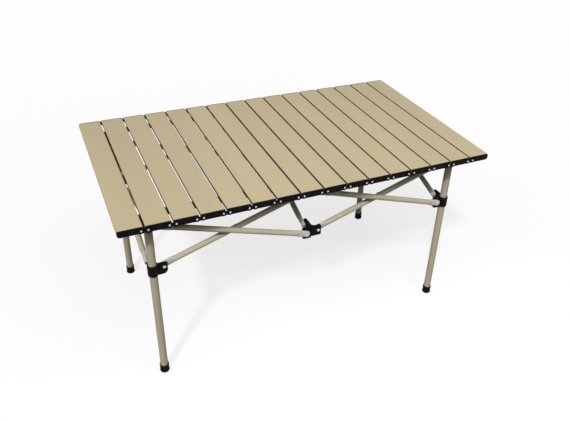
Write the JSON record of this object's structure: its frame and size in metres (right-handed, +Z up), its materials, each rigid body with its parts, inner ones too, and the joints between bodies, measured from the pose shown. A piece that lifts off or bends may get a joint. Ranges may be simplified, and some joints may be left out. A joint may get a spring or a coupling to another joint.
{
  "type": "folding camp table",
  "caption": "Low folding camp table: roll-up top of metal slats with black end caps, on a scissor-bar frame with four tube legs and sliding hubs.",
  "frame": {"origin": "on the floor under the middle of the table top", "axes": "+X along the long side, +Z up, -Y to the front side that the picture shows"},
  "size_m": [0.95, 0.552, 0.49],
  "materials": {
    "slat_paint": "satin khaki coating, black plastic end caps and links",
    "frame_paint": "satin khaki coating",
    "hub_plastic": "moulded black",
    "foot_rubber": "matte black"
  },
  "bodies": {
    "post_front_left": {"leg_front_left": "frame_paint", "foot_front_left": "foot_rubber", "corner_hub_front_left": "hub_plastic"},
    "slider_front_left": {"slider_front_left": "hub_plastic"},
    "post_front_right": {"leg_front_right": "frame_paint", "foot_front_right": "foot_rubber", "corner_hub_front_right": "hub_plastic"},
    "slider_front_right": {"slider_front_right": "hub_plastic"},
    "post_back_left": {"leg_back_left": "frame_paint", "foot_back_left": "foot_rubber", "corner_hub_back_left": "hub_plastic"},
    "slider_back_left": {"slider_back_left": "hub_plastic"},
    "post_back_right": {"leg_back_right": "frame_paint", "foot_back_right": "foot_rubber", "corner_hub_back_right": "hub_plastic"},
    "slider_back_right": {"slider_back_right": "hub_plastic"},
    "centre_hub_front_upper": {"centre_hub_front_upper": "hub_plastic"},
    "centre_hub_front_lower": {"centre_hub_front_lower": "hub_plastic"},
    "centre_hub_back_upper": {"centre_hub_back_upper": "hub_plastic"},
    "centre_hub_back_lower": {"centre_hub_back_lower": "hub_plastic"},
    "bar_front_left_falling": {"bar_front_left_falling": "frame_paint"},
    "bar_front_left_rising": {"bar_front_left_rising": "frame_paint"},
    "bar_front_right_falling": {"bar_front_right_falling": "frame_paint"},
    "bar_front_right_rising": {"bar_front_right_rising": "frame_paint"},
    "bar_back_left_falling": {"bar_back_left_falling": "frame_paint"},
    "bar_back_left_rising": {"bar_back_left_rising": "frame_paint"},
    "bar_back_right_falling": {"bar_back_right_falling": "frame_paint"},
    "bar_back_right_rising": {"bar_back_right_rising": "frame_paint"},
    "bar_left_side_falling": {"bar_left_side_falling": "frame_paint"},
    "bar_left_side_rising": {"bar_left_side_rising": "frame_paint"},
    "bar_middle_falling": {"bar_middle_falling": "frame_paint"},
    "bar_middle_rising": {"bar_middle_rising": "frame_paint"},
    "bar_right_side_falling": {"bar_right_side_falling": "frame_paint"},
    "bar_right_side_rising": {"bar_right_side_rising": "frame_paint"},
    "slat_01": {"slat_01": "slat_paint"},
    "slat_02": {"slat_02": "slat_paint", "top_clip_front_left": "hub_plastic", "top_clip_back_left": "hub_plastic"},
    "slat_03": {"slat_03": "slat_paint"},
    "slat_04": {"slat_04": "slat_paint"},
    "slat_05": {"slat_05": "slat_paint"},
    "slat_06": {"slat_06": "slat_paint"},
    "slat_07": {"slat_07": "slat_paint"},
    "slat_08": {"slat_08": "slat_paint"},
    "slat_09": {"slat_09": "slat_paint"},
    "slat_10": {"slat_10": "slat_paint"},
    "slat_11": {"slat_11": "slat_paint"},
    "slat_12": {"slat_12": "slat_paint"},
    "slat_13": {"slat_13": "slat_paint"},
    "slat_14": {"slat_14": "slat_paint"},
    "slat_15": {"slat_15": "slat_paint", "top_clip_front_right": "hub_plastic", "top_clip_back_right": "hub_plastic"},
    "slat_16": {"slat_16": "slat_paint"}
  },
  "joints": [
    {"name": "frame_fold", "type": "hinge", "parent": "post_front_left", "child": "bar_front_left_falling", "pos_m": [-0.37564, -0.21497, 0.448], "axis": [0, 1, 0], "range_deg": [0, 66]},
    {"name": "cross_front_left", "type": "hinge", "parent": "bar_front_left_falling", "child": "bar_front_left_rising", "pos_m": [-0.19667, -0.21497, 0.38975], "axis": [0, 1, 0], "range_deg": [-132, 0]},
    {"name": "pivot_slider_front_left", "type": "hinge", "parent": "bar_front_left_rising", "child": "slider_front_left", "pos_m": [-0.37564, -0.21497, 0.3315], "axis": [0, 1, 0], "range_deg": [0, 66]},
    {"name": "pivot_centre_front_upper", "type": "hinge", "parent": "bar_front_left_rising", "child": "centre_hub_front_upper", "pos_m": [-0.0177, -0.21497, 0.448], "axis": [0, 1, 0], "range_deg": [0, 66]},
    {"name": "pivot_centre_front_lower", "type": "hinge", "parent": "bar_front_left_falling", "child": "centre_hub_front_lower", "pos_m": [-0.0177, -0.21497, 0.3315], "axis": [0, 1, 0], "range_deg": [-66, 0]},
    {"name": "pivot_front_right_falling", "type": "hinge", "parent": "centre_hub_front_upper", "child": "bar_front_right_falling", "pos_m": [0.0177, -0.21497, 0.448], "axis": [0, 1, 0], "range_deg": [0, 66]},
    {"name": "cross_front_right", "type": "hinge", "parent": "bar_front_right_falling", "child": "bar_front_right_rising", "pos_m": [0.19667, -0.21497, 0.38975], "axis": [0, 1, 0], "range_deg": [-132, 0]},
    {"name": "pivot_slider_front_right", "type": "hinge", "parent": "bar_front_right_falling", "child": "slider_front_right", "pos_m": [0.37564, -0.21497, 0.3315], "axis": [0, 1, 0], "range_deg": [-66, 0]},
    {"name": "pivot_post_front_right", "type": "hinge", "parent": "bar_front_right_rising", "child": "post_front_right", "pos_m": [0.37564, -0.21497, 0.448], "axis": [0, 1, 0], "range_deg": [0, 66]},
    {"name": "pivot_left_side_falling", "type": "hinge", "parent": "post_front_left", "child": "bar_left_side_falling", "pos_m": [-0.40204, -0.17897, 0.448], "axis": [-1, 0, 0], "range_deg": [0, 66]},
    {"name": "cross_left_side", "type": "hinge", "parent": "bar_left_side_falling", "child": "bar_left_side_rising", "pos_m": [-0.40204, 0, 0.38975], "axis": [-1, 0, 0], "range_deg": [-132, 0]},
    {"name": "pivot_slider_back_left", "type": "hinge", "parent": "bar_left_side_falling", "child": "slider_back_left", "pos_m": [-0.40204, 0.17897, 0.3315], "axis": [-1, 0, 0], "range_deg": [-66, 0]},
    {"name": "pivot_post_back_left", "type": "hinge", "parent": "bar_left_side_rising", "child": "post_back_left", "pos_m": [-0.40204, 0.17897, 0.448], "axis": [-1, 0, 0], "range_deg": [0, 66]},
    {"name": "pivot_middle_falling", "type": "hinge", "parent": "centre_hub_front_upper", "child": "bar_middle_falling", "pos_m": [0, -0.17897, 0.448], "axis": [-1, 0, 0], "range_deg": [0, 66]},
    {"name": "cross_middle", "type": "hinge", "parent": "bar_middle_falling", "child": "bar_middle_rising", "pos_m": [0, 0, 0.38975], "axis": [-1, 0, 0], "range_deg": [-132, 0]},
    {"name": "pivot_centre_hub_back_lower", "type": "hinge", "parent": "bar_middle_falling", "child": "centre_hub_back_lower", "pos_m": [0, 0.17897, 0.3315], "axis": [-1, 0, 0], "range_deg": [-66, 0]},
    {"name": "pivot_centre_hub_back_upper", "type": "hinge", "parent": "bar_middle_rising", "child": "centre_hub_back_upper", "pos_m": [0, 0.17897, 0.448], "axis": [-1, 0, 0], "range_deg": [0, 66]},
    {"name": "pivot_right_side_falling", "type": "hinge", "parent": "post_front_right", "child": "bar_right_side_falling", "pos_m": [0.40204, -0.17897, 0.448], "axis": [-1, 0, 0], "range_deg": [0, 66]},
    {"name": "cross_right_side", "type": "hinge", "parent": "bar_right_side_falling", "child": "bar_right_side_rising", "pos_m": [0.40204, 0, 0.38975], "axis": [-1, 0, 0], "range_deg": [-132, 0]},
    {"name": "pivot_slider_back_right", "type": "hinge", "parent": "bar_right_side_falling", "child": "slider_back_right", "pos_m": [0.40204, 0.17897, 0.3315], "axis": [-1, 0, 0], "range_deg": [-66, 0]},
    {"name": "pivot_post_back_right", "type": "hinge", "parent": "bar_right_side_rising", "child": "post_back_right", "pos_m": [0.40204, 0.17897, 0.448], "axis": [-1, 0, 0], "range_deg": [0, 66]},
    {"name": "pivot_back_left_falling", "type": "hinge", "parent": "post_back_left", "child": "bar_back_left_falling", "pos_m": [-0.37564, 0.21497, 0.448], "axis": [0, 1, 0], "range_deg": [0, 66]},
    {"name": "cross_back_left", "type": "hinge", "parent": "bar_back_left_falling", "child": "bar_back_left_rising", "pos_m": [-0.19667, 0.21497, 0.38975], "axis": [0, 1, 0], "range_deg": [-132, 0]},
    {"name": "pivot_back_right_falling", "type": "hinge", "parent": "centre_hub_back_upper", "child": "bar_back_right_falling", "pos_m": [0.0177, 0.21497, 0.448], "axis": [0, 1, 0], "range_deg": [0, 66]},
    {"name": "cross_back_right", "type": "hinge", "parent": "bar_back_right_falling", "child": "bar_back_right_rising", "pos_m": [0.19667, 0.21497, 0.38975], "axis": [0, 1, 0], "range_deg": [-132, 0]},
    {"name": "top_lift", "type": "slide", "parent": "post_front_left", "child": "slat_02", "axis": [0, 0, 1], "range_m": [0, 0.15]},
    {"name": "hinge_01", "type": "hinge", "parent": "slat_02", "child": "slat_01", "pos_m": [-0.41009, 0, 0.4815], "axis": [0, 1, 0], "range_deg": [0, 35.95]},
    {"name": "top_roll", "type": "hinge", "parent": "slat_02", "child": "slat_03", "pos_m": [-0.35044, 0, 0.4815], "axis": [0, -1, 0], "range_deg": [0, 37.05]},
    {"name": "hinge_03", "type": "hinge", "parent": "slat_03", "child": "slat_04", "pos_m": [-0.29078, 0, 0.4815], "axis": [0, -1, 0], "range_deg": [0, 38.27]},
    {"name": "hinge_04", "type": "hinge", "parent": "slat_04", "child": "slat_05", "pos_m": [-0.23112, 0, 0.4815], "axis": [0, -1, 0], "range_deg": [0, 39.61]},
    {"name": "hinge_05", "type": "hinge", "parent": "slat_05", "child": "slat_06", "pos_m": [-0.17147, 0, 0.4815], "axis": [0, -1, 0], "range_deg": [0, 41.1]},
    {"name": "hinge_06", "type": "hinge", "parent": "slat_06", "child": "slat_07", "pos_m": [-0.11181, 0, 0.4815], "axis": [0, -1, 0], "range_deg": [0, 42.78]},
    {"name": "hinge_07", "type": "hinge", "parent": "slat_07", "child": "slat_08", "pos_m": [-0.05216, 0, 0.4815], "axis": [0, -1, 0], "range_deg": [0, 44.68]},
    {"name": "hinge_08", "type": "hinge", "parent": "slat_08", "child": "slat_09", "pos_m": [0.0075, 0, 0.4815], "axis": [0, -1, 0], "range_deg": [0, 46.86]},
    {"name": "hinge_09", "type": "hinge", "parent": "slat_09", "child": "slat_10", "pos_m": [0.06716, 0, 0.4815], "axis": [0, -1, 0], "range_deg": [0, 49.39]},
    {"name": "hinge_10", "type": "hinge", "parent": "slat_10", "child": "slat_11", "pos_m": [0.12681, 0, 0.4815], "axis": [0, -1, 0], "range_deg": [0, 52.39]},
    {"name": "hinge_11", "type": "hinge", "parent": "slat_11", "child": "slat_12", "pos_m": [0.18647, 0, 0.4815], "axis": [0, -1, 0], "range_deg": [0, 56]},
    {"name": "hinge_12", "type": "hinge", "parent": "slat_12", "child": "slat_13", "pos_m": [0.24613, 0, 0.4815], "axis": [0, -1, 0], "range_deg": [0, 60.48]},
    {"name": "hinge_13", "type": "hinge", "parent": "slat_13", "child": "slat_14", "pos_m": [0.30578, 0, 0.4815], "axis": [0, -1, 0], "range_deg": [0, 66.24]},
    {"name": "hinge_14", "type": "hinge", "parent": "slat_14", "child": "slat_15", "pos_m": [0.36544, 0, 0.4815], "axis": [0, -1, 0], "range_deg": [0, 74.04]},
    {"name": "hinge_15", "type": "hinge", "parent": "slat_15", "child": "slat_16", "pos_m": [0.42509, 0, 0.4815], "axis": [0, -1, 0], "range_deg": [0, 85.46]}
  ],
  "couplings": [
    {"joint": "cross_front_left", "follows": "frame_fold", "ratio": -2},
    {"joint": "pivot_slider_front_left", "follows": "frame_fold", "ratio": 1},
    {"joint": "pivot_centre_front_upper", "follows": "frame_fold", "ratio": 1},
    {"joint": "pivot_centre_front_lower", "follows": "frame_fold", "ratio": -1},
    {"joint": "pivot_front_right_falling", "follows": "frame_fold", "ratio": 1},
    {"joint": "cross_front_right", "follows": "frame_fold", "ratio": -2},
    {"joint": "pivot_slider_front_right", "follows": "frame_fold", "ratio": -1},
    {"joint": "pivot_post_front_right", "follows": "frame_fold", "ratio": 1},
    {"joint": "pivot_left_side_falling", "follows": "frame_fold", "ratio": 1},
    {"joint": "cross_left_side", "follows": "frame_fold", "ratio": -2},
    {"joint": "pivot_slider_back_left", "follows": "frame_fold", "ratio": -1},
    {"joint": "pivot_post_back_left", "follows": "frame_fold", "ratio": 1},
    {"joint": "pivot_middle_falling", "follows": "frame_fold", "ratio": 1},
    {"joint": "cross_middle", "follows": "frame_fold", "ratio": -2},
    {"joint": "pivot_centre_hub_back_lower", "follows": "frame_fold", "ratio": -1},
    {"joint": "pivot_centre_hub_back_upper", "follows": "frame_fold", "ratio": 1},
    {"joint": "pivot_right_side_falling", "follows": "frame_fold", "ratio": 1},
    {"joint": "cross_right_side", "follows": "frame_fold", "ratio": -2},
    {"joint": "pivot_slider_back_right", "follows": "frame_fold", "ratio": -1},
    {"joint": "pivot_post_back_right", "follows": "frame_fold", "ratio": 1},
    {"joint": "pivot_back_left_falling", "follows": "frame_fold", "ratio": 1},
    {"joint": "cross_back_left", "follows": "frame_fold", "ratio": -2},
    {"joint": "pivot_back_right_falling", "follows": "frame_fold", "ratio": 1},
    {"joint": "cross_back_right", "follows": "frame_fold", "ratio": -2},
    {"joint": "hinge_01", "follows": "top_roll", "ratio": 0.9702},
    {"joint": "hinge_03", "follows": "top_roll", "ratio": 1.0328},
    {"joint": "hinge_04", "follows": "top_roll", "ratio": 1.069},
    {"joint": "hinge_05", "follows": "top_roll", "ratio": 1.1093},
    {"joint": "hinge_06", "follows": "top_roll", "ratio": 1.1546},
    {"joint": "hinge_07", "follows": "top_roll", "ratio": 1.2059},
    {"joint": "hinge_08", "follows": "top_roll", "ratio": 1.2647},
    {"joint": "hinge_09", "follows": "top_roll", "ratio": 1.333},
    {"joint": "hinge_10", "follows": "top_roll", "ratio": 1.4138},
    {"joint": "hinge_11", "follows": "top_roll", "ratio": 1.5113},
    {"joint": "hinge_12", "follows": "top_roll", "ratio": 1.6322},
    {"joint": "hinge_13", "follows": "top_roll", "ratio": 1.7877},
    {"joint": "hinge_14", "follows": "top_roll", "ratio": 1.9983},
    {"joint": "hinge_15", "follows": "top_roll", "ratio": 2.3065}
  ]
}
